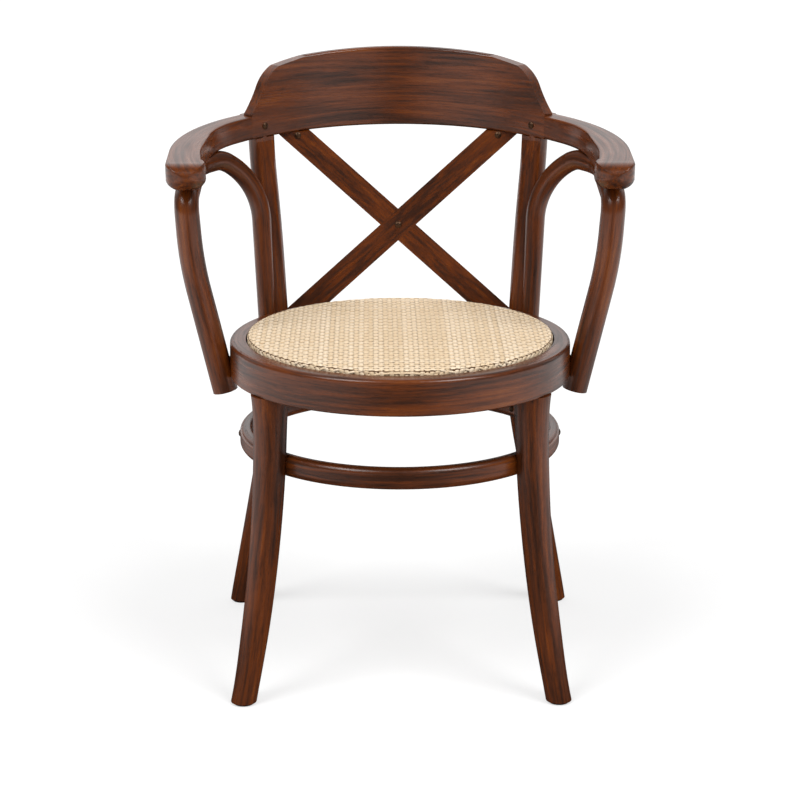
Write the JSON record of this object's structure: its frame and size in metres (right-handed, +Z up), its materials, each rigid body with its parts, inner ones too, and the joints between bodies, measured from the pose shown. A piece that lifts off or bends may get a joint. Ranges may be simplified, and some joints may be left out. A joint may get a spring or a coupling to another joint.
{
  "type": "armchair with a round cane seat and a crossed back",
  "caption": "Bent wood armchair: a round woven cane seat in a deep ring, four splayed legs tied by a hoop, a crossed slat back under a curved crest, and arms ending in balls on bent bows.",
  "frame": {"origin": "on the floor, under the middle of the chair's box in plan", "axes": "+Z up; the sitter faces -Y; +X is the sitter's left"},
  "size_m": [0.602, 0.518, 0.809],
  "materials": {
    "stained_wood": "dark walnut stain under a satin lacquer",
    "plywood": "bare sanded plywood",
    "bare_beech": "bare turned beech",
    "woven_cane": "natural rattan cane, matt",
    "bronzed_screws": "steel with a dark bronze finish",
    "black_plastic": "matt black plastic"
  },
  "bodies": {
    "root": {"seat_ring": "stained_wood", "seat_board": "plywood", "cane_seat": "woven_cane", "front_leg_left": "stained_wood", "front_leg_right": "stained_wood", "rear_post_left": "stained_wood", "rear_post_right": "stained_wood", "hoop_stretcher": "stained_wood", "back_rail": "stained_wood", "crest": "stained_wood", "arm_left": "stained_wood", "arm_right": "stained_wood", "arm_bow_left": "stained_wood", "arm_bow_right": "stained_wood", "cross_slat_front": "stained_wood", "cross_slat_rear": "stained_wood", "rail_screws": "bronzed_screws", "slat_pins": "bronzed_screws", "slat_dowels": "bare_beech", "cross_screw": "bronzed_screws", "slat_foot_screws": "bronzed_screws", "hoop_side_screws": "bronzed_screws", "hoop_leg_screws": "bronzed_screws", "post_bolts": "bronzed_screws", "post_nuts": "bronzed_screws", "bow_ring_screws": "bronzed_screws", "bow_arm_screws": "bronzed_screws", "arm_dowels": "bare_beech", "crest_dowels": "bare_beech", "board_screws": "bronzed_screws", "foot_glides": "black_plastic"}
  },
  "joints": []
}
